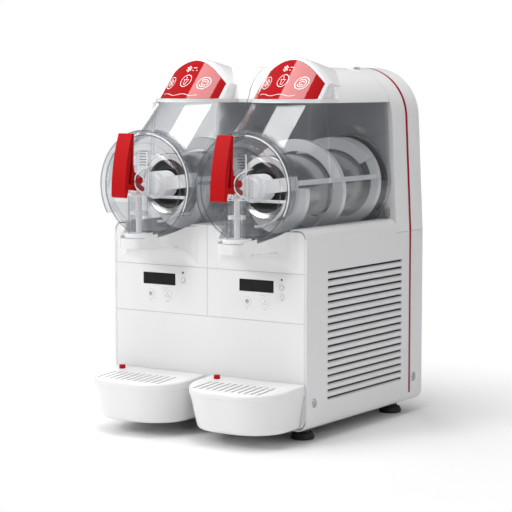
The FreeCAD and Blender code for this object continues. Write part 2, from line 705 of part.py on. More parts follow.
def cord_gland():
    inner = 3.6 + 0.2
    flange = tube(11, inner, (CORD_X, BODY_DEPTH + 0.1, CORD_Z), (CORD_X, BODY_DEPTH + 3, CORD_Z))
    neck = tube(7.0, inner, (CORD_X, BODY_DEPTH - 5, CORD_Z), (CORD_X, BODY_DEPTH + 1, CORD_Z))
    return fuse(flange, neck)


def bowl_stops():
    """Small oval knobs beside the bowls on the tower wall."""
    knobs = []
    for side in (-1, 1):
        x = side * STOP_X
        knob = prism(
            [(x - 4.5, 351, 4.4), (x + 4.5, 351, 4.4), (x + 4.5, 366, 4.4), (x - 4.5, 366, 4.4)],
            "xz", TOWER_Y - 9, TOWER_Y - 0.1,
        )
        knobs.append(rounded(knob, 2, lambda e: e.CenterOfMass.y < TOWER_Y - 8.9))
    return Part.makeCompound(knobs)


# ---- bowls ----------------------------------------------------------------------------------
def bowl_section(radius, rim_half, top):
    """Cross-section seen from the front: round bottom, sides leaning in to the rim."""
    rise = RIM_Z - AXIS_Z
    reach = math.hypot(rim_half, rise)
    angle = math.atan2(rise, rim_half) - math.acos(radius / reach)
    tangent = V(radius * math.cos(angle), radius * math.sin(angle), 0)
    lean = (rim_half - tangent.x) / (rise - tangent.y)
    top_half = rim_half + lean * (top - RIM_Z)

    def at(u, v):
        return V(u, 0, AXIS_Z + v)

    edges = [
        Part.makeLine(at(top_half, top - AXIS_Z), at(tangent.x, tangent.y)),
        Part.Arc(at(tangent.x, tangent.y), at(0, -radius), at(-tangent.x, tangent.y)).toShape(),
        Part.makeLine(at(-tangent.x, tangent.y), at(-top_half, top - AXIS_Z)),
        Part.makeLine(at(-top_half, top - AXIS_Z), at(top_half, top - AXIS_Z)),
    ]
    return Part.Face(Part.Wire(edges))


def leaning_round(low_r, low_y, low_z, high_r, high_y, high_z):
    """Round that leans along y between two circles, with all the room behind its centre line."""
    circles = [Part.Wire(Part.makeCircle(r, V(0, y, z), V(0, 0, 1)))
               for r, y, z in ((low_r, low_y, low_z), (high_r, high_y, high_z))]
    front = Part.makeLoft(circles, True, True)
    back = prism([(low_y, low_z), (400, low_z), (400, high_z), (high_y, high_z)], "yz", -120, 120)
    return front.fuse(back)


def bowl_body(inset, top):
    """The bowl's outer form, moved inwards by inset."""
    y0, y1 = BOWL_Y
    rear = bowl_section(BOWL_R - inset, RIM_HALF - inset, top)
    rear = rear.extrude(V(0, y1 - inset - SHOULDER_Y - inset, 0))
    rear.translate(V(0, SHOULDER_Y + inset, 0))
    plan = [(-120, SHOULDER_Y + inset), (-120, y1 + 5), (120, y1 + 5), (120, SHOULDER_Y + inset)]
    plan = prism(plan, "xy", 250, 650)
    rear = rear.common(plan)
    front = rod(NOSE_R - inset, (0, y0 + inset, AXIS_Z), (0, SHOULDER_Y + inset + 1, AXIS_Z))
    nose = bowl_section(NOSE_R - inset, RIM_HALF - 2 - inset, top)
    nose = nose.extrude(V(0, SHOULDER_Y + inset + 41, 0))
    nose.translate(V(0, -40, 0))
    low, high = AXIS_Z - 30, top + 1
    lean = leaning_round(
        NOSE_RIM_R - inset + NOSE_FLARE * (RIM_Z - low), NOSE_RIM_Y - NOSE_LEAN * (RIM_Z - low), low,
        NOSE_RIM_R - inset - NOSE_FLARE * (high - RIM_Z), NOSE_RIM_Y + NOSE_LEAN * (high - RIM_Z), high,
    )
    return rear.fuse(front).fuse(nose.common(lean))


def visor():
    """Clear skirt that stands proud round the upper front of the bowl."""
    ring = tube(VISOR_R, VISOR_R - 2.6, (0, -42, AXIS_Z), (0, -18, AXIS_Z))
    web = tube(VISOR_R - 1, NOSE_R - 1, (0, -21, AXIS_Z), (0, -18, AXIS_Z))
    skirt = ring.fuse(web)
    return skirt.cut(block(-120, 120, -60, 0, AXIS_Z - 120, AXIS_Z - 48))


def tap_housing():
    closed = rod(TAP_R, (0, TAP_Y, TAP_FOOT_Z), (0, TAP_Y, TAP_OPEN_Z))
    half_open = rod(TAP_R, (0, TAP_Y, TAP_OPEN_Z - 1), (0, TAP_Y, 470))
    half_open = half_open.cut(block(-30, 30, TAP_Y - 40, TAP_Y + 2, TAP_OPEN_Z, 480))
    neck = block(-14, 14, TAP_Y, -34, TAP_FOOT_Z + 8, 470)
    return closed.fuse(half_open).fuse(neck)


def pivot_ears():
    ears = []
    for x0, x1 in ((-20.2, -16.6), (16.6, 20.2)):
        ears.append(prism(
            [(-35, 446), (-74, 440, 12), (-91, 431, 11), (-91, 414, 9), (-72, 402, 8), (-35, 398)],
            "yz", x0, x1,
        ))
    return ears


def bowl(side):
    """Clear tank: hopper, round nose, front wall with the tap housing, and the lever's ears."""
    outer = bowl_body(0, RIM_Z)
    outer = fuse(outer, visor(), tap_housing(), *pivot_ears())
    inner = bowl_body(BOWL_WALL, RIM_Z + 5)
    shell = outer.cut(inner)
    bore_low = rod(TAP_BORE, (0, TAP_Y, TAP_FOOT_Z - 1), (0, TAP_Y, 475))
    outlet = block(-11, 11, TAP_Y, -33, 335, 362)
    rear_hole = rod(REAR_HOLE_R, (0, BOWL_Y[1] - 10, AXIS_Z), (0, BOWL_Y[1] + 5, AXIS_Z))
    pivot = rod(PIVOT_R + RUNNING_GAP, (-30, PIVOT_Y, PIVOT_Z), (30, PIVOT_Y, PIVOT_Z))
    fork_way = block(-16.6, 16.6, TAP_Y - 40, TAP_Y + 2, TAP_OPEN_Z, 480)
    shell = shell.cut(Part.makeCompound([bore_low])).cut(outlet).cut(rear_hole).cut(pivot).cut(fork_way)
    return shifted(shell.removeSplitter(), side * UNIT_X)


def spout_ring(side):
    ring = tube(RING_R, TAP_R + 0.1, (0, TAP_Y, TAP_FOOT_Z), (0, TAP_Y, TAP_FOOT_Z + 7))
    return shifted(ring.cut(block(-30, 30, -39.5, 0, 300, 340)), side * UNIT_X)


def tap_piston(side):
    """Stem with the plug that closes the spout and two collars for the lever's fork."""
    parts = [
        rod(TAP_BORE - 0.15, (0, TAP_Y, TAP_FOOT_Z + 0.6), (0, TAP_Y, 334)),
        rod(5, (0, TAP_Y, 330), (0, TAP_Y, 400)),
        rod(TAP_BORE - 0.15, (0, TAP_Y, 365.5), (0, TAP_Y, 371)),
        rod(9, (0, TAP_Y, 396), (0, TAP_Y, 400)),
        rod(4, (0, TAP_Y, 399), (0, TAP_Y, 430)),
        rod(9, (0, TAP_Y, 417.5), (0, TAP_Y, 421.5)),
    ]
    return shifted(fuse(*parts), side * UNIT_X)


def tap_lever(side):
    """Curved grip, rear arm, pivot boss with trunnions and the fork behind the pivot."""
    half = LEVER_HALF
    front = Part.Arc(V(-half, -92, 500), V(-half, -106.5, 452), V(-half, -112, 397)).toShape()
    run = [(-112, 397), (-106.5, 395), (-102, 409), (-88, 407), (-70, 415), (-72, 430), (-86, 437), (-88.5, 448),
           (-87, 500), (-92, 500)]
    lines = [Part.makeLine(V(-half, *run[i]), V(-half, *run[i + 1])) for i in range(len(run) - 1)]
    grip = Part.Face(Part.Wire([front] + lines)).extrude(V(2 * half, 0, 0))
    pocket = [(-94.0, 484), (-96.5, 452, 2), (-102.5, 418, 3), (-95, 416, 3), (-92.5, 446, 3)]
    pockets = [prism(pocket, "yz", half - 9, half + 1), prism(pocket, "yz", -half - 1, -half + 9)]
    grip = grip.cut(Part.makeCompound(pockets))
    trunnion = rod(PIVOT_R, (-20.1, PIVOT_Y, PIVOT_Z), (20.1, PIVOT_Y, PIVOT_Z))
    tines = []
    for x0, x1 in ((-8.6, -5.6), (5.6, 8.6)):
        tine = [(-76, FORK_Z + 13, 2), (-76, FORK_Z + 3, 2), (-54, FORK_Z - 4, 3.3), (-52, FORK_Z + 3, 3.3)]
        tines.append(prism(tine, "yz", x0, x1))
    return shifted(fuse(grip, trunnion, *tines), side * UNIT_X)


# ---- lids -----------------------------------------------------------------------------------
def lid_block(inset, bottom):
    """The right lid's outer form, moved inwards by inset."""
    points = [
        (0.8 + inset, TOWER_SEAM_Z), (HALF - inset, TOWER_SEAM_Z),
        (side_x(TOP_Z) - inset, TOP_Z - inset, SHOULDER_R - inset), (0.8 + inset, TOP_Z - inset, 6 - inset),
    ]
    form = prism(points, "xz", LID_FRONT_Y + inset, TOWER_Y - 0.7 - inset)
    form = form.common(block(0, HALF, 0, BODY_DEPTH, bottom, TOP_Z + 1))
    rise = Part.Arc(
        V(0, LID_RISE_Y + inset, LID_FLANGE_Z - inset), V(0, LID_RISE_Y + 19 + inset, LID_FLANGE_Z + 33 - inset),
        V(0, LID_CREST_Y, TOP_Z - inset),
    ).toShape()
    back = Part.makePolygon([
        V(0, LID_CREST_Y, TOP_Z - inset), V(0, TOWER_Y + 5, TOP_Z - inset), V(0, TOWER_Y + 5, bottom - 1),
        V(0, LID_FRONT_Y + inset, bottom - 1), V(0, LID_FRONT_Y + inset, LID_FLANGE_Z - inset),
        V(0, LID_RISE_Y + inset, LID_FLANGE_Z - inset),
    ])
    side_view = Part.Face(Part.Wire([rise] + back.Edges)).extrude(V(BODY_WIDTH, 0, 0))
    plan = [(-1, LID_FRONT_Y + inset), (side_x(RIM_Z) - inset, LID_FRONT_Y + inset, 14),
            (side_x(RIM_Z) - inset, TOWER_Y), (-1, TOWER_Y)]
    return form.common(side_view).common(prism(plan, "xy", bottom - 5, TOP_Z + 5))


def sign_face(border, base_z, y):
    """The sign seen from the front: straight sides and a parabola on top, grown by border."""
    half = SIGN_HALF + border
    crown = Part.BezierCurve()
    peak = SIGN_CORNER_Z + 2 * (SIGN_TOP_Z + border - SIGN_CORNER_Z)
    crown.setPoles([V(half, y, SIGN_CORNER_Z), V(0, y, peak), V(-half, y, SIGN_CORNER_Z)])
    sides = Part.makePolygon([
        V(-half, y, SIGN_CORNER_Z), V(-half, y, base_z), V(half, y, base_z), V(half, y, SIGN_CORNER_Z),
    ])
    return Part.Face(Part.Wire([crown.toShape()] + sides.Edges))


def sign_form(radius):
    """Everything behind the sign's leaning, rounded surface."""
    low, high = RIM_Z - 10, SIGN_TOP_Z + 20
    return leaning_round(
        radius, SIGN_CENTRE_Y + SIGN_LEAN * (low - SIGN_BASE_Z), low,
        radius, SIGN_CENTRE_Y + SIGN_LEAN * (high - SIGN_BASE_Z), high,
    )


def sign_hood(inset, bottom):
    """The hood behind the sign, level at first and then sinking into the lid."""
    border = SIGN_BORDER - inset
    level = sign_face(border, bottom, HOOD_FRONT_Y).extrude(V(0, HOOD_BACK_Y - HOOD_FRONT_Y, 0))
    sinking = sign_face(border, bottom, HOOD_BACK_Y).extrude(V(0, 90, -17))
    hood = level.fuse(sinking).common(sign_form(SIGN_R - inset))
    return hood.common(block(-120, 120, 0, 280, bottom, 700))


def lid_flange(radius, bottom, top):
    """Round front of the rim that follows the bowl."""
    centre_y = NOSE_RIM_Y - 1
    return rod(radius, (0, centre_y, bottom), (0, centre_y, top))


def lid(side):
    """Hinged lid: a shell over the bowl with a hooded sign at its front and a hinge knuckle."""
    bottom = RIM_Z + 0.4
    front = sign_hood(0, bottom).fuse(lid_flange(LID_FLANGE_R, bottom, LID_FLANGE_Z))
    hollow = sign_hood(LID_WALL, bottom - 1)
    hollow = hollow.fuse(lid_flange(LID_FLANGE_R - LID_WALL, bottom - 1, LID_FLANGE_Z - LID_WALL))
    shell = lid_block(0, bottom).fuse(shifted(front, UNIT_X))
    shell = shell.cut(lid_block(LID_WALL, bottom - 1)).cut(shifted(hollow, UNIT_X))
    recess = sign_face(0.3, SIGN_BASE_Z - 0.3, HOOD_FRONT_Y).extrude(V(0, HOOD_BACK_Y - HOOD_FRONT_Y, 0))
    recess = recess.cut(sign_form(SIGN_R - 0.8))
    shell = shell.cut(shifted(recess, UNIT_X))
    knuckle = rod(2.2, (UNIT_X - 20, HINGE_Y, HINGE_Z), (UNIT_X + 20, HINGE_Y, HINGE_Z))
    leaf = block(UNIT_X - 20, UNIT_X + 20, HINGE_Y - 16, HINGE_Y, TOP_Z - 1.5, TOP_Z + 1.6)
    shell = fuse(shell, knuckle, leaf)
    return shell if side > 0 else mirrored(shell)


def lid_label(side):
    """Printed plate in the sign's recess."""
    front = sign_face(0, SIGN_BASE_Z, HOOD_FRONT_Y).extrude(V(0, HOOD_BACK_Y - HOOD_FRONT_Y, 0))
    plate = front.common(sign_form(SIGN_R + 0.2)).cut(sign_form(SIGN_R - 0.7))
    return shifted(plate, side * UNIT_X)


# ---- drip trays -----------------------------------------------------------------------------
def tray_plan(shrink, z):
    half = TRAY_HALF - shrink
    front = TRAY_FRONT + shrink
    corner = TRAY_CORNER - shrink * 0.6
    return outline([(-half, -0.8), (-half, front, corner), (half, front, corner), (half, -0.8)], "xy", z)


def drip_tray(side):
    """Open tray with drafted walls and a rounded floor."""
    outer = Part.makeLoft([tray_plan(12, TRAY_BOTTOM_Z), tray_plan(1.2, TRAY_RIM_Z)], True, True)
    outer = rounded(outer, 9, lambda e: abs(e.BoundBox.ZMax - TRAY_BOTTOM_Z) < 0.01 and e.CenterOfMass.y < -2)
    inner = Part.makeLoft([tray_plan(15, TRAY_BOTTOM_Z + 3), tray_plan(4.2, TRAY_RIM_Z + 1)], True, True)
    inner = inner.common(block(-200, 200, -200, -3.8, 0, 200))
    return shifted(outer.cut(inner), side * UNIT_X)


def drip_grille(side):
    """Lift-off cover of the tray: rounded edge, sloping top and long drain slots."""
    cover = Part.Face(tray_plan(0, TRAY_RIM_Z + 0.2)).extrude(V(0, 0, 30))
    above = prism(
        [(10, COVER_TOP[0] + 0.74), (TRAY_FRONT - 10, COVER_TOP[1] - 0.69), (TRAY_FRONT - 10, 140), (10, 140)],
        "yz", -120, 120,
    )
    cover = cover.cut(above)
    cover = rounded(cover, 4, lambda e: e.BoundBox.ZMin > COVER_TOP[1] - 1.5 and e.CenterOfMass.y < -1.5)
    cavity = Part.Face(tray_plan(4, TRAY_RIM_Z)).extrude(V(0, 0, 30)).common(block(-200, 200, -200, -4, 0, 200))
    roof = above.copy()
    roof.translate(V(0, 0, -3))
    cover = cover.cut(cavity.cut(roof))
    slots = []
    for i in range(11):
        x = -62 + i * 12.4
        slot = [(x - 2, -92, 1.9), (x + 2, -92, 1.9), (x + 2, -40, 1.9), (x - 2, -40, 1.9)]
        slots.append(prism(slot, "xy", 70, 110))
    x, y = FLOAT_AT
    hole = FLOAT_HALF + 0.5
    float_hole = block(x - hole, x + hole, y - hole, y + hole, 70, 120)
    return shifted(cover.cut(Part.makeCompound(slots + [float_hole])), side * UNIT_X)


def tray_float(side):
    """Full-tray flag: a post through the cover on a float block."""
    x, y = FLOAT_AT
    post = block(x - FLOAT_HALF, x + FLOAT_HALF, y - FLOAT_HALF, y + FLOAT_HALF, 40, COVER_TOP[0] + FLOAT_PROUD)
    block_part = block(x - 9, x + 9, y - 12, y + 12, 34, 52)
    return shifted(fuse(post, block_part), side * UNIT_X)


# ---- export ---------------------------------------------------------------------------------
def build():
    right_side = side_panel()
    parts = {
        "base_pan": base_pan(),
        "rubber_feet": rubber_feet(),
        "chassis_frame": chassis_frame(),
        "right_side_panel": right_side,
        "left_side_panel": mirrored(right_side),
        "lower_front_panel": lower_front_panel(),
        "left_control_panel": control_panel(-1, LEFT_KEYS),
        "right_control_panel": control_panel(1, RIGHT_KEYS),
        "left_front_cowl": front_cowl(-1),
        "right_front_cowl": front_cowl(1),
        "top_deck": top_deck(),
        "rear_panel": rear_panel(),
        "tower_shell": tower_shell(),
        "tower_rear_cover": tower_rear_cover(),
        "trim_stripe": trim_stripe(),
        "panel_screws": panel_screws(),
        "evaporators": evaporators(),
        "bowl_gaskets": bowl_gaskets(),
        "gearmotors": gearmotors(),
        "shaft_seals": shaft_seals(),
        "compressor": compressor(),
        "condenser": condenser(),
        "fan_shroud": fan_shroud(),
        "fan_motor": fan_motor(),
        "fan_rotor": fan_rotor(),
        "control_boards": control_boards(),
        "display_windows": display_windows(),
        "refrigerant_lines": refrigerant_lines(),
        "power_cord": power_cord(),
        "cord_gland": cord_gland(),
        "bowl_stops": bowl_stops(),
    }
    for side, word in ((-1, "left"), (1, "right")):
        parts[word + "_bowl"] = bowl(side)
        parts[word + "_spout_ring"] = spout_ring(side)
        parts[word + "_tap_piston"] = tap_piston(side)
        parts[word + "_tap_lever"] = tap_lever(side)
        parts[word + "_auger"] = auger(side)
        parts[word + "_drive_shaft"] = drive_shaft(side)
        parts[word + "_lid"] = lid(side)
        parts[word + "_lid_label"] = lid_label(side)
        parts[word + "_drip_tray"] = drip_tray(side)
        parts[word + "_drip_grille"] = drip_grille(side)
        parts[word + "_tray_float"] = tray_float(side)
        parts[word + "_power_key"] = key(side, POWER_KEY, SMALL_KEY_R)
        parts[word + "_chill_key"] = key(side, CHILL_KEY, LARGE_KEY_R)
        parts[word + "_speed_key"] = key(side, SPEED_KEY, LARGE_KEY_R)
    parts["right_light_key"] = key(1, LIGHT_KEY, SMALL_KEY_R)
    return parts


def middle_of_depth(shapes):
    """y half-way between the foremost and the rearmost point of the machine."""
    boxes = [shape.optimalBoundingBox(False, False) for shape in shapes]
    return (min(b.YMin for b in boxes) + max(b.YMax for b in boxes)) / 2


def main():
    os.makedirs("parts", exist_ok=True)
    parts = build()
    middle = middle_of_depth(parts.values())
    for name, shape in parts.items():
        shifted(shape, 0, -middle).exportStep(os.path.join("parts", name + ".step"))
    print(len(parts), "parts, y shift", round(-middle, 3))


if __name__ == "__main__":
    main()
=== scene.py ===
"""Looks of the slushie machine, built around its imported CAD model. Metres, in the model's own frame."""

import json
import math

import bmesh
import bpy
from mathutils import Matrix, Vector

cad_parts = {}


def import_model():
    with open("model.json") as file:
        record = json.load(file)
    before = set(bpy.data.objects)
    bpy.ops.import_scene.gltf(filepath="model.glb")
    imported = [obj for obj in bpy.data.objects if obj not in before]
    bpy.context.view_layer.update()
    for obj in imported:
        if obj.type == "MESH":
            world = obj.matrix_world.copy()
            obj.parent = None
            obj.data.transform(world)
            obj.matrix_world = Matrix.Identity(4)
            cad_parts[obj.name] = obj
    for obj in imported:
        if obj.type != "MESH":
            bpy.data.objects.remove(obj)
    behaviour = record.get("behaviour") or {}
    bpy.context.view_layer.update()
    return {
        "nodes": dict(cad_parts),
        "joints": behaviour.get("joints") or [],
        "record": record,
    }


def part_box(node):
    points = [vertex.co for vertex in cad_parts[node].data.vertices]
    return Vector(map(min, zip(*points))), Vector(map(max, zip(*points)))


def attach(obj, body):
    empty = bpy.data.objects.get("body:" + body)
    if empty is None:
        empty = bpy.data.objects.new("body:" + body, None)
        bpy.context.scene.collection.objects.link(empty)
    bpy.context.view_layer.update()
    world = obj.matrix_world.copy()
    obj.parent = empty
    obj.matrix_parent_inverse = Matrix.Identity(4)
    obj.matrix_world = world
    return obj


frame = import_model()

SIDES = {"left": -1, "right": 1}
MM = 0.001
JOINTS = {j["name"]: j for j in frame["joints"]}
FRONT_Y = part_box("lower_front_panel")[0].y              # plane of the front panels
UNIT_X = JOINTS["auger_right_spin"]["pos_m"][0]         # centre plane of the right bowl
AXIS_Z = JOINTS["auger_right_spin"]["pos_m"][2]
CAMERA_AZIMUTH = math.radians(33.80)
CAMERA_DROP = math.radians(5.52)
CAMERA_PLACE = (1.7138, -2.4152, 0.5826)                # y from the front panels
CAMERA_LENS = 126.1
CAMERA_SENSOR = 36
SLOT_SHADE_BOX = ((0.0, 0.1926), (0.036, 0.135), (0.17, 0.112))   # (centre, half size) of the box where the louvre slots get painted shade
PAINTED_SHADE_REACH = 0.045                                    # how near a neighbour must be for painted shade in a hollow
FLOOR_RADIUS, FLOOR_Z = 14, -0.0002                     # just under the feet
FLOOR_NEAR, FLOOR_FAR = 0.30, 0.75                      # the floor fades to white between these distances
SKY_LIT, SKY_MIRRORED = 0.62, 0.34                      # strength of the sky as light and in reflections

# The rest is in millimetres.
SIGN_R, SIGN_CENTRE_Y, SIGN_LEAN, SIGN_BASE_Z = 75.0, 124.5, 0.926, 556.0
SIGN_SPREAD = 34.0                                      # between the centres of the ringed pictures
PRINT = 0.06                                            # thickness of the ink
DRUM_FRONT = 24.98                                      # y of the cold drum's front
RIM_R, RIM_Y = 84.2, -38.4                              # rounded rim of the bowl's front
VISOR_R, VISOR_Y = 91.8, -42.0                          # edge of the visor round it
EAR_X, TAP_X, TAP_Y = 18.4, 16.6, -56.0                 # edges of the lever's ears and of the tap housing
RIBS, RIB_Z, RIB_PITCH = 6, 446, 4.6                    # guide ribs up the tap housing


def at(x, y, z):
    """Millimetres from the machine's middle, front-panel plane and counter to the model's frame."""
    return Vector((x * MM, FRONT_Y + y * MM, z * MM))


def middle_of(side):
    """x of a unit's centre plane in millimetres."""
    return SIDES[side] * UNIT_X / MM


def drum_centre(side):
    return middle_of(side), AXIS_Z / MM


def key_centre(side, key):
    """x and z of a key's middle in millimetres."""
    low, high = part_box(f"{side}_{key}_key")
    return (low.x + high.x) / 2 / MM, (low.z + high.z) / 2 / MM


# ---- materials ------------------------------------------------------------------------------
class Nodes:
    """A shader's nodes while they are put together."""

    def __init__(self, tree):
        self.tree = tree
        self.tree.nodes.clear()

    def node(self, kind, settings=None, **inputs):
        made = self.tree.nodes.new("ShaderNode" + kind)
        for name, value in (settings or {}).items():
            setattr(made, name, value)
        for name, value in inputs.items():
            self.feed(made.inputs[name.replace("_", " ")], value)
        return made

    def feed(self, socket, value):
        if isinstance(value, bpy.types.NodeSocket):
            self.tree.links.new(value, socket)
        else:
            socket.default_value = value

    def maths(self, operation, a, b=0.0):
        made = self.tree.nodes.new("ShaderNodeMath")
        made.operation = operation
        self.feed(made.inputs[0], a)
        self.feed(made.inputs[1], b)
        return made.outputs[0]

    def mix(self, share, a, b):
        return self.node("MixRGB", Fac=share, Color1=a, Color2=b).outputs["Color"]

    def blend(self, share, first, second):
        made = self.node("MixShader", Fac=share)
        self.tree.links.new(first, made.inputs[1])
        self.tree.links.new(second, made.inputs[2])
        return made.outputs["Shader"]

    def ranged(self, value, low, high, to_low, to_high):
        made = self.node("MapRange", Value=value, From_Min=low, From_Max=high, To_Min=to_low, To_Max=to_high)
        return made.outputs["Result"]


class Surface(Nodes):
    """A node material while it is put together."""

    def __init__(self, name):
        self.material = bpy.data.materials.new(name)
        self.material.use_nodes = True
        super().__init__(self.material.node_tree)
        self.place = self.node("TexCoord").outputs["Object"]

    def noise(self, scale, detail=3.0, stretch=(1, 1, 1)):
        where = self.node("Mapping", Vector=self.place, Scale=stretch).outputs["Vector"]
        return self.node("TexNoise", Vector=where, Scale=scale, Detail=detail).outputs["Fac"]

    def within(self, box):
        """1 inside a box given as (centre, half size) per axis, 0 outside."""
        where = self.node("SeparateXYZ", Vector=self.place)
        held = 1.0
        for axis, (centre, half) in zip("XYZ", box):
            off = self.maths("ABSOLUTE", self.maths("SUBTRACT", where.outputs[axis], centre))
            held = self.maths("MULTIPLY", self.maths("LESS_THAN", off, half), held)
        return held

    def soft_edges(self, radius):
        """Normal with edges rounded by radius, and a mask that is 1 on the edges."""
        rounded = self.node("Bevel", {"samples": 4}, Radius=radius).outputs["Normal"]
        flat = self.node("NewGeometry").outputs["Normal"]
        turned = self.node("VectorMath", {"operation": "DOT_PRODUCT"})
        self.feed(turned.inputs[0], rounded)
        self.feed(turned.inputs[1], flat)
        mask = self.ranged(turned.outputs["Value"], 0.96, 0.7, 0.0, 1.0)
        return rounded, mask

    def bumped(self, height, strength, distance, normal):
        made = self.node("Bump", Strength=strength, Distance=distance, Height=height, Normal=normal)
        return made.outputs["Normal"]

    def finish(self, shader):
        output = self.node("OutputMaterial")
        self.tree.links.new(shader, output.inputs["Surface"])
        return self.material


def rgba(colour, factor=1.0):
    return tuple(c * factor for c in colour) + (1.0,)


def moulded(name, colour, roughness, grain=1400.0, relief=0.02, edge=0.9, shade=0.93, glow=0.0,
            coat=0.0, scuff=0.05, shine=0.5, stretch=(1, 1, 1), slots=False, painted_shade=0.0):
    """Moulded or painted surface: slow colour drift, fine grain, rounded edges with light wear, scuffs.

    hollows paints shade into recesses and onto faces turned down, slots paints shade into the louvres, and
    glow is painted light: the surface shines by itself.
    """
    s = Surface(name)
    drift = s.noise(6.0, 4.0)
    base = s.mix(s.ranged(drift, 0.1, 0.9, 0.0, 1.0), rgba(colour), rgba(colour, shade))
    flat = s.node("NewGeometry").outputs["Normal"]
    normal, edges = s.soft_edges(edge * MM) if edge else (flat, 0.0)
    base = s.mix(s.maths("MULTIPLY", edges, scuff), base, (0.95, 0.95, 0.95, 1))
    # Painted shade: near black inside the louvre slots, within the box
    if slots:
        base = s.mix(s.within(SLOT_SHADE_BOX), base, (0.035, 0.035, 0.037, 1))
    # Painted shade: darker where ambient occlusion finds near neighbours, and on faces turned down
    if painted_shade:
        shadow = (0.45, 0.45, 0.46, 1)
        open_sky = s.node("AmbientOcclusion", {"samples": 6}, Distance=PAINTED_SHADE_REACH).outputs["AO"]
        base = s.mix(s.ranged(open_sky, 0.0, 0.75, painted_shade, 0.0), base, shadow)
        facing_up = s.node("SeparateXYZ", Vector=flat).outputs["Z"]
        base = s.mix(s.ranged(facing_up, -1.0, -0.1, painted_shade * 0.7, 0.0), base, shadow)
    rubbed = s.noise(55.0, 5.0, stretch)
    rough = s.maths("ADD", s.ranged(rubbed, 0.1, 0.9, roughness * 0.94, roughness * 1.06),
                    s.maths("MULTIPLY", edges, 0.05))
    fine = s.noise(grain, 2.0, stretch)
    normal = s.bumped(fine, relief, 0.0004, normal)
    shader = s.node("BsdfPrincipled", Base_Color=base, Roughness=rough, Normal=normal,
                    Specular_IOR_Level=shine, Coat_Weight=coat, Coat_Roughness=0.06,
                    Emission_Color=rgba(colour), Emission_Strength=glow)
    return s.finish(shader.outputs["BSDF"])


def clear_plastic(name, tint, edge_tint, haze):
    """Clear sheet: light passes straight through, more is lost and mirrored at a glancing angle."""
    s = Surface(name)
    drift = s.noise(14.0, 4.0)
    normal = s.bumped(s.noise(26.0, 2.0), 0.05, 0.0015, s.node("NewGeometry").outputs["Normal"])
    facing = s.node("LayerWeight", Blend=0.5, Normal=normal).outputs["Facing"]
    glance = s.maths("POWER", facing, 3.0)
    through = s.mix(glance, rgba(tint), rgba(edge_tint))
    clear = s.node("BsdfTransparent", Color=through).outputs["BSDF"]
    polish = s.ranged(drift, 0.3, 0.7, 0.015, 0.05)
    mirror = s.node("BsdfGlossy", Color=(1, 1, 1, 1), Roughness=polish, Normal=normal).outputs["BSDF"]
    mirrored = s.ranged(s.maths("POWER", facing, 5.0), 0.0, 1.0, 0.05, 0.95)
    shader = s.blend(mirrored, clear, mirror)
    cloudy = s.node("BsdfDiffuse", Color=(0.9, 0.9, 0.92, 1)).outputs["BSDF"]
    share = s.maths("ADD", s.maths("MULTIPLY", glance, haze), s.ranged(drift, 0.3, 0.7, 0.004, 0.014))
    return s.finish(s.blend(share, shader, cloudy))


def metal(name, colour, roughness, lines, stretch):
    """Turned or rolled metal: brush lines in the roughness and the relief."""
    s = Surface(name)
    brushed = s.noise(lines, 4.0, stretch)
    drift = s.noise(11.0, 3.0)
    base = s.mix(s.ranged(drift, 0.3, 0.7, 0.0, 1.0), rgba(colour), rgba(colour, 0.82))
    normal, edges = s.soft_edges(0.5 * MM)
    base = s.mix(s.maths("MULTIPLY", edges, 0.25), base, (0.95, 0.95, 0.95, 1))
    rough = s.ranged(brushed, 0.3, 0.7, roughness * 0.7, roughness * 1.4)
    normal = s.bumped(brushed, 0.08, 0.0002, normal)
    shader = s.node("BsdfPrincipled", Base_Color=base, Metallic=1.0, Roughness=rough, Normal=normal)
    return s.finish(shader.outputs["BSDF"])


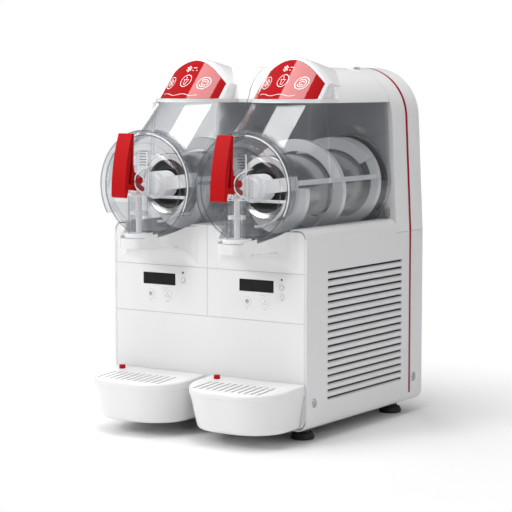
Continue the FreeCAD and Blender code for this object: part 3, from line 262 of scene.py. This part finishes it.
def make_materials():
    """The record's material slots, then the pieces' own: print, the disc painted dark for its reflection, and
    the edges of clear parts in painted shade and painted highlight.
    """
    return {
        # white_gloss gets painted shade in its recesses and on faces turned down
        "white_gloss": moulded("white_gloss", (0.84, 0.84, 0.845), 0.25, coat=0.15, shade=0.98, edge=1.4,
                               painted_shade=0.55),
        # white_painted_steel gets painted shade inside its louvre slots
        "white_painted_steel": moulded("white_painted_steel", (0.79, 0.79, 0.80), 0.34, grain=2200,
                                       relief=0.05, shade=0.985, slots=True),
        "white_tray": moulded("white_tray", (0.83, 0.83, 0.835), 0.36, shade=0.99, edge=0, shine=0.35),
        "clear_tank": clear_plastic("clear_tank", (0.945, 0.95, 0.955), (0.42, 0.44, 0.46), 0.05),
        # The scraper glows faintly: painted light that keeps the auger bright inside the bowl
        "white_scraper": moulded("white_scraper", (0.84, 0.85, 0.86), 0.35, shade=0.95, glow=0.10),
        "red_lever": moulded("red_lever", (0.50, 0.002, 0.004), 0.5, scuff=0.02, grain=900, shine=0.12,
                             shade=0.9),
        "red_label": moulded("red_label", (0.42, 0.003, 0.006), 0.05, scuff=0.0, relief=0.0, edge=0.1),
        "red_trim": moulded("red_trim", (0.34, 0.002, 0.004), 0.26, scuff=0.02, edge=0.4, shine=0.3),
        "stainless": metal("stainless", (0.66, 0.66, 0.67), 0.22, 260, (1, 14, 14)),
        "galvanised": metal("galvanised", (0.48, 0.50, 0.52), 0.42, 60, (1, 1, 1)),
        "black_rubber": moulded("black_rubber", (0.018, 0.018, 0.019), 0.62, grain=1800, relief=0.12),
        "black_window": moulded("black_window", (0.008, 0.008, 0.009), 0.16, relief=0.0, scuff=0.0,
                                shine=0.25),
        "key_white": moulded("key_white", (0.86, 0.86, 0.87), 0.42, grain=2600, relief=0.05, edge=0.4),
        "grey_plastic": moulded("grey_plastic", (0.25, 0.255, 0.26), 0.38),
        "fan_plastic": moulded("fan_plastic", (0.02, 0.02, 0.02), 0.45),
        "motor_steel": moulded("motor_steel", (0.035, 0.035, 0.038), 0.38, relief=0.08),
        "fin_aluminium": metal("fin_aluminium", (0.66, 0.67, 0.68), 0.38, 300, (1, 1, 20)),
        "copper_tube": metal("copper_tube", (0.66, 0.30, 0.17), 0.28, 180, (8, 8, 1)),
        "circuit_board": moulded("circuit_board", (0.02, 0.16, 0.06), 0.30, grain=700, relief=0.2),
        "white_print": moulded("white_print", (0.88, 0.86, 0.86), 0.45, scuff=0.0, edge=0.05),
        "grey_print": moulded("grey_print", (0.20, 0.205, 0.21), 0.5, scuff=0.0, edge=0.05),
        # dark_face: near-black colour painted for the dark reflection on the drum's steel front
        "dark_face": moulded("dark_face", (0.012, 0.012, 0.013), 0.28, grain=500, relief=0.15, scuff=0.1,
                             stretch=(1, 1, 6)),
        # clear_edge: darker clear whose tint paints the dark lines at clear rims and ribs as shade
        "clear_edge": clear_plastic("clear_edge", (0.72, 0.73, 0.75), (0.16, 0.17, 0.18), 0.25),
        # clear_painted_highlight glows: painted highlight on the edges of clear parts
        "clear_painted_highlight": moulded("clear_painted_highlight", (0.74, 0.76, 0.77), 0.16, glow=0.22, coat=0.4, edge=0.3),
    }


def paint_cad_nodes():
    """Each CAD node gets the material of its slot in the record."""
    for part in frame["record"]["subparts"]:
        node = frame["nodes"][part["node"]]
        node.data.materials.clear()
        node.data.materials.append(materials[part["material_slot"]])
        for polygon in node.data.polygons:
            polygon.material_index = 0


# ---- studio ---------------------------------------------------------------------------------
def floor():
    """Round pale counter top, faintly mottled, that fades into the white background far from the object."""
    s = Surface("studio_floor")
    tone = s.ranged(s.noise(3.0, 4.0), 0.3, 0.7, 0.0, 1.0)
    base = s.mix(tone, (0.90, 0.90, 0.90, 1), (0.88, 0.88, 0.88, 1))
    near = s.node("BsdfPrincipled", Base_Color=base, Roughness=0.5, Specular_IOR_Level=0.15).outputs["BSDF"]
    far = s.node("Emission", Color=(1, 1, 1, 1), Strength=1.0).outputs["Emission"]
    reach = s.node("VectorMath", {"operation": "LENGTH"})
    s.feed(reach.inputs[0], s.place)
    fade = s.ranged(reach.outputs["Value"], FLOOR_NEAR, FLOOR_FAR, 0.0, 1.0)
    seen = s.node("LightPath").outputs["Is Camera Ray"]
    material = s.finish(s.blend(s.maths("MULTIPLY", fade, seen), near, far))
    bpy.ops.mesh.primitive_circle_add(vertices=96, radius=FLOOR_RADIUS, fill_type="NGON",
                                      location=(0, 0, FLOOR_Z))
    plane = bpy.context.object
    plane.name = "studio_floor"
    plane.data.materials.append(material)


def softbox(name, place, target, width, height, power):
    """White area light at place, facing target."""
    lamp = bpy.data.lights.new(name, "AREA")
    lamp.shape = "RECTANGLE"
    lamp.size, lamp.size_y = width, height
    lamp.energy = power
    holder = bpy.data.objects.new(name, lamp)
    holder.location = place
    holder.rotation_euler = (Vector(target) - Vector(place)).to_track_quat("-Z", "Y").to_euler()
    bpy.context.scene.collection.objects.link(holder)


def world():
    """White behind the object; a dimmer sky, brighter overhead, lights it and shows in reflections."""
    made = bpy.data.worlds.new("studio")
    bpy.context.scene.world = made
    made.use_nodes = True
    s = Nodes(made.node_tree)
    up = s.node("SeparateXYZ", Vector=s.node("TexCoord").outputs["Generated"]).outputs["Z"]
    ramp = s.node("ValToRGB", Fac=up)
    low, high = ramp.color_ramp.elements
    low.position, low.color = 0.0, (0.30, 0.30, 0.31, 1)
    high.position, high.color = 0.9, (0.75, 0.75, 0.75, 1)
    tone = ramp.outputs["Color"]
    seen = s.node("Background", Color=(1, 1, 1, 1), Strength=1.0).outputs["Background"]
    lit = s.node("Background", Color=tone, Strength=SKY_LIT).outputs["Background"]
    mirrored = s.node("Background", Color=tone, Strength=SKY_MIRRORED).outputs["Background"]
    ray = s.node("LightPath")
    unseen = s.blend(ray.outputs["Is Glossy Ray"], lit, mirrored)
    s.node("OutputWorld", Surface=s.blend(ray.outputs["Is Camera Ray"], unseen, seen))


def studio():
    """Floor, sky and five soft lights: name, place, target, width, height, watts."""
    floor()
    world()
    softbox("key_front_left", (-1.0, -2.3, 1.95), (0, 0, 0.32), 1.2, 1.2, 34)
    softbox("overhead", (0.0, -0.28, 2.15), (0, -0.2, 0.6), 1.32, 0.95, 26)
    softbox("strip_left", (-1.5, -0.9, 0.9), (0, 0, 0.42), 0.22, 1.5, 5)
    softbox("strip_right", (1.7, -0.3, 0.9), (0, 0, 0.42), 0.22, 1.5, 4)
    softbox("back_left", (-1.8, 1.5, 1.4), (0, 0, 0.4), 0.9, 1.4, 12)
    bpy.context.scene.view_settings.view_transform = "Standard"
    bpy.context.scene.cycles.transparent_max_bounces = 32


def camera():
    """The camera fitted to the photograph."""
    lens = bpy.data.cameras.new("photo_camera")
    lens.lens = CAMERA_LENS
    lens.sensor_width = CAMERA_SENSOR
    holder = bpy.data.objects.new("photo_camera", lens)
    x, y, z = CAMERA_PLACE
    holder.location = (x, FRONT_Y + y, z)
    ahead = Vector((-math.sin(CAMERA_AZIMUTH) * math.cos(CAMERA_DROP),
                    math.cos(CAMERA_AZIMUTH) * math.cos(CAMERA_DROP), -math.sin(CAMERA_DROP)))
    holder.rotation_euler = ahead.to_track_quat("-Z", "Y").to_euler()
    bpy.context.scene.collection.objects.link(holder)
    bpy.context.scene.camera = holder


# ---- printed pictures -----------------------------------------------------------------------
class Drawing:
    """Flat line drawing in millimetres, built as thin strips and laid on a surface."""

    def __init__(self):
        self.points = []
        self.faces = []

    def line(self, path, width, closed=False):
        """A strip of even width along a path of (u, v) points."""
        path = [Vector(p) for p in path]
        count = len(path)
        first = len(self.points)
        for i, p in enumerate(path):
            before = path[i - 1] if closed or i > 0 else p
            after = path[(i + 1) % count] if closed or i < count - 1 else p
            along = (after - before).normalized()
            side = Vector((-along.y, along.x)) * width / 2
            self.points += [p + side, p - side]
        for i in range(count if closed else count - 1):
            a, b = first + 2 * i, first + 2 * ((i + 1) % count)
            self.faces.append((a, a + 1, b + 1, b))

    def ring(self, u, v, radius, width, start=0.0, sweep=360.0):
        """A circle or, with start and sweep in degrees, an arc."""
        steps = max(12, int(sweep / 7.5))
        closed = sweep >= 360
        angles = [math.radians(start + sweep * i / steps) for i in range(steps if closed else steps + 1)]
        self.line([(u + radius * math.cos(a), v + radius * math.sin(a)) for a in angles], width, closed)

    def snowflake(self, u, v, radius, width):
        """Six arms, each with one pair of barbs."""
        for i in range(6):
            a = math.radians(90 + 60 * i)
            out = Vector((math.cos(a), math.sin(a)))
            across = Vector((-out.y, out.x))
            middle = Vector((u, v))
            self.line([middle, middle + out * radius], width)
            for way in (-1, 1):
                fork = middle + out * radius * 0.55
                self.line([fork, fork + (out + across * way) * radius * 0.26], width)

    def wave(self, u, v, length, height, width):
        """Two periods of a wave."""
        steps = 28
        path = [(u - length / 2 + length * i / steps, v + height * math.sin(4 * math.pi * i / steps))
                for i in range(steps + 1)]
        self.line(path, width)

    def cup(self, u, v, size, width):
        """A tapered cup with a broad rim and a bent straw."""
        self.line([(u - size * 0.46, v + size * 0.3), (u - size * 0.2, v - size * 0.75),
                   (u + size * 0.2, v - size * 0.75), (u + size * 0.46, v + size * 0.3)], width, True)
        self.line([(u - size * 0.66, v + size * 0.3), (u + size * 0.66, v + size * 0.3)], width)
        straw = [(u, v + size * 0.3), (u - size * 0.08, v + size * 0.85), (u - size * 0.4, v + size * 0.95)]
        self.line(straw, width)

    def laid(self, name, surface, thickness, material, body, slot):
        """A closed thin piece: surface(u, v, lift) gives the place of a point lifted off the surface."""
        low = [surface(p.x, p.y, 0.0) for p in self.points]
        high = [surface(p.x, p.y, thickness) for p in self.points]
        count = len(low)
        edges = {(f[i], f[(i + 1) % 4]) for f in self.faces for i in range(4)}
        faces = [(a, b, b + count, a + count) for a, b in sorted(edges) if (b, a) not in edges]
        for f in self.faces:
            faces.append(tuple(i + count for i in f))
            faces.append(tuple(reversed(f)))
        piece(name, low + high, faces, material, body)


def piece(name, points, faces, material, body, smooth=False):
    """A new mesh piece that rides on a body."""
    mesh = bpy.data.meshes.new(name)
    mesh.from_pydata([tuple(p) for p in points], [], faces)
    mesh.materials.append(materials[material])
    work = bmesh.new()
    work.from_mesh(mesh)
    bmesh.ops.recalc_face_normals(work, faces=work.faces)
    work.to_mesh(mesh)
    work.free()
    for polygon in mesh.polygons:
        polygon.use_smooth = smooth
    made = bpy.data.objects.new(name, mesh)
    bpy.context.scene.collection.objects.link(made)
    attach(made, body)


def tube_faces(turns, count, closed):
    """Quads between turns sections of count points each, with end caps on an open tube."""
    faces = []
    for i in range(turns if closed else turns - 1):
        here, there = i * count, ((i + 1) % turns) * count
        for k in range(count):
            n = (k + 1) % count
            faces.append((here + k, here + n, there + n, there + k))
    if not closed:
        faces += [tuple(range(count)), tuple(range((turns - 1) * count, turns * count))]
    return faces


def lathe(name, profile, centre, body, material, slot, steps=96, start=0.0, sweep=360.0):
    """Closed profile of (radius, y) in millimetres turned about a line along y through centre (x, z)."""
    full = sweep >= 360
    turns = steps if full else steps + 1
    points = []
    for i in range(turns):
        a = math.radians(start + sweep * i / steps)
        for radius, y in profile:
            points.append(at(centre[0] + radius * math.cos(a), y, centre[1] + radius * math.sin(a)))
    piece(name, points, tube_faces(turns, len(profile), full), material, body, smooth=True)


def bead(radius, y, size, steps=10):
    """Round cross-section for a lathe."""
    return [(radius + size * math.cos(2 * math.pi * i / steps), y + size * math.sin(2 * math.pi * i / steps))
            for i in range(steps)]


def cord(name, path, radius, body, material, slot, steps=8):
    """Thin round rod along a path of (x, y, z) points in millimetres."""
    path = [at(*p) for p in path]
    points = []
    for i, place in enumerate(path):
        before = path[max(i - 1, 0)]
        after = path[min(i + 1, len(path) - 1)]
        turn = (after - before).normalized().to_track_quat("Z", "Y")
        for k in range(steps):
            a = 2 * math.pi * k / steps
            points.append(place + turn @ Vector((math.cos(a), math.sin(a), 0)) * radius * MM)
    piece(name, points, tube_faces(len(path), steps, False), material, body, smooth=True)


def rounded_path(corners, steps=6):
    """Open path of (y, z, radius) corners with each corner rounded."""
    path = []
    for i, (y, z, radius) in enumerate(corners):
        here = Vector((y, z))
        if radius <= 0:
            path.append(here)
            continue
        back = (Vector(corners[i - 1][:2]) - here).normalized() * radius * 0.6
        ahead = (Vector(corners[i + 1][:2]) - here).normalized() * radius * 0.6
        for k in range(steps + 1):
            t = k / steps
            path.append(here + back * (1 - t) ** 2 + ahead * t ** 2)
    return path


def ear_edges(side):
    """Glowing cords painted as highlights along the edges of the lever's ears and of the open tap housing."""
    middle = middle_of(side)
    bright = side + "_bowl", "clear_painted_highlight", "clear_tank"
    corners = [(-40, 445.4, 0), (-74, 440, 12), (-91, 431, 11), (-91, 414, 9), (-72, 402, 8), (-40, 398.6, 0)]
    outline = rounded_path(corners)
    for name, x in (("inner", -EAR_X), ("outer", EAR_X)):
        path = [(middle + x, p.x, p.y) for p in outline]
        cord(f"{side}_ear_edge_{name}", path, 0.95, *bright)
    for name, x in (("inner", -TAP_X), ("outer", TAP_X)):
        path = [(middle + x, TAP_Y, z) for z in (397, 469)]
        cord(f"{side}_tap_edge_{name}", path, 0.8, *bright)
    foot = [(middle + 18.2 * math.cos(a), -57 + 18.2 * math.sin(a), 396.6)
            for a in (math.radians(180 + 10 * i) for i in range(19))]
    cord(side + "_tap_step", foot, 0.7, *bright)


def sign_picture(side):
    """Three ringed pictures, a small flake and a wave on the sign's leaning round."""
    middle = middle_of(side)
    drawing = Drawing()
    for u, v in ((-SIGN_SPREAD, 582), (0, 586), (SIGN_SPREAD, 582)):
        drawing.ring(u, v, 9.8, 1.1)
    drawing.snowflake(-SIGN_SPREAD, 582, 7.2, 1.0)
    drawing.cup(0, 585.4, 7.6, 1.1)
    drawing.ring(SIGN_SPREAD, 582, 3.2, 1.1, 20, 300)
    drawing.ring(SIGN_SPREAD, 582, 6.2, 1.0, 200, 300)
    drawing.snowflake(-6, 606, 5.4, 1.0)
    drawing.line([(2, 603.5), (12, 603.5)], 1.1)
    drawing.line([(2, 608.0), (9, 608.0)], 1.1)
    drawing.wave(-2, 562.5, 70, 1.4, 0.8)

    def surface(u, z, lift):
        radius = SIGN_R + 0.2 + lift
        centre = SIGN_CENTRE_Y + SIGN_LEAN * (z - SIGN_BASE_Z)
        return at(middle + u, centre - math.sqrt(radius ** 2 - u ** 2), z)

    drawing.laid(side + "_sign_picture", surface, 2 * PRINT, "white_print", side + "_lid", "white_gloss")


def key_icons(side):
    """Grey icons printed on the key caps, each riding on its own key."""
    def print_on(key, drawing):
        x, z = key_centre(side, key)
        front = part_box(f"{side}_{key}_key")[0].y

        def surface(u, v, lift):
            return Vector(((x + u) * MM, front - lift * MM, (z + v) * MM))

        drawing.laid(f"{side}_{key}_icon", surface, PRINT, "grey_print", f"{side}_{key}_key", "key_white")

    power = Drawing()
    power.ring(0, 0, 3.6, 0.6, 125, 290)
    power.line([(0, 1.2), (0, 4.4)], 0.6)
    print_on("power", power)
    chill = Drawing()
    chill.snowflake(0, 0, 4.6, 0.55)
    chill.ring(0, 0, 1.7, 0.5)
    print_on("chill", chill)
    speed = Drawing()
    for u, v in ((0, 2.4), (-2.4, -1.8), (2.4, -1.8)):
        speed.line([(u, v + 1.9), (u - 1.6, v - 1.2), (u + 1.6, v - 1.2)], 0.6, True)
    print_on("speed", speed)
    if side == "right":
        light = Drawing()
        light.ring(0, 0.6, 2.3, 0.55, -60, 300)
        light.line([(-1.1, -2.6), (1.1, -2.6)], 0.6)
        light.line([(-0.9, -3.6), (0.9, -3.6)], 0.6)
        print_on("light", light)


def panel_marks(side):
    """Short grey dashes under the round keys and beside the display."""
    marks = Drawing()
    for key in ("chill", "speed"):
        x = key_centre(side, key)[0]
        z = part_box(f"{side}_{key}_key")[0].z / MM
        marks.line([(x - 3.6, z - 2.6), (x + 2.4, z - 2.6)], 0.5)
        marks.line([(x + 8.6, z + 0.4), (x + 10.2, z + 0.4)], 0.5)
    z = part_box("display_windows")[0].z / MM - 5.5
    for x in (middle_of(side) + 8, middle_of(side) + 13):
        marks.line([(x, z), (x + 2.4, z)], 0.5)

    def surface(u, v, lift):
        return at(u, -0.02 - lift, v)

    marks.laid(side + "_panel_marks", surface, PRINT, "grey_print", "root", "white_gloss")


def drum_face(side):
    """Near-black disc on the front of the cold drum, painted dark for the steel's dark reflection, in a broad
    polished rim.
    """
    centre = drum_centre(side)
    face = [(12.0, 24.6), (12.0, 24.0), (40.5, 24.0), (41.2, 24.3), (41.6, 24.9), (41.6, DRUM_FRONT),
            (12.0, DRUM_FRONT)]
    lathe(side + "_drum_face", face, centre, "root", "dark_face", "black_rubber")
    rim = [(41.8, DRUM_FRONT), (41.8, 24.3), (42.4, 24.0), (49.0, 24.0), (49.8, 23.4), (50.6, 22.9),
           (51.8, 23.2), (52.4, 24.4), (52.4, 27.5), (52.05, 27.5), (51.9, DRUM_FRONT)]
    lathe(side + "_drum_rim", rim, centre, "root", "stainless", "stainless")


def bowl_beads(side):
    """Rounded edges of the bowl: its front, a glowing arc beside that as painted highlight, the visor, and a
    step inside; the front and visor beads paint their dark lines as shade.
    """
    def edge(name, profile, material, **arc):
        lathe(f"{side}_{name}", profile, drum_centre(side), side + "_bowl", material, "clear_tank", **arc)

    # Painted shade: the front and visor beads are darker clear that draws the rim's dark lines
    edge("front_bead", bead(RIM_R, RIM_Y, 1.3), "clear_edge")
    # Painted highlight: a glowing arc on the upper right of the front rim
    edge("front_painted_highlight", bead(RIM_R + 2.0, RIM_Y + 0.4, 1.15), "clear_painted_highlight", start=-28, sweep=116)
    edge("visor_bead", bead(VISOR_R, VISOR_Y, 1.15), "clear_edge", start=-31, sweep=242)
    edge("inner_step", [(70, -38.2), (70, -39.2), (71.6, -39.2), (71.6, -38.2)], "clear_tank")


def tap_ribs(side):
    """Ladder of short guide ribs up the open tap housing."""
    middle = middle_of(side)
    faces = [(0, 1, 3, 2), (4, 6, 7, 5), (0, 4, 5, 1), (2, 3, 7, 6), (0, 2, 6, 4), (1, 5, 7, 3)]
    for i in range(RIBS):
        z = RIB_Z + i * RIB_PITCH
        points = [at(middle + x, y, z + dz) for x in (-6, 6) for y in (-47.5, -41.6) for dz in (0, 1.4)]
        # The ribs are darker clear, painting their dark edge lines as shade
        piece(f"{side}_tap_rib_{i + 1}", points, faces, "clear_edge", side + "_bowl")


# ---- the whole scene ------------------------------------------------------------------------
materials = make_materials()
paint_cad_nodes()
for side in SIDES:
    sign_picture(side)
    key_icons(side)
    panel_marks(side)
    drum_face(side)
    bowl_beads(side)
    tap_ribs(side)
    ear_edges(side)
studio()
camera()
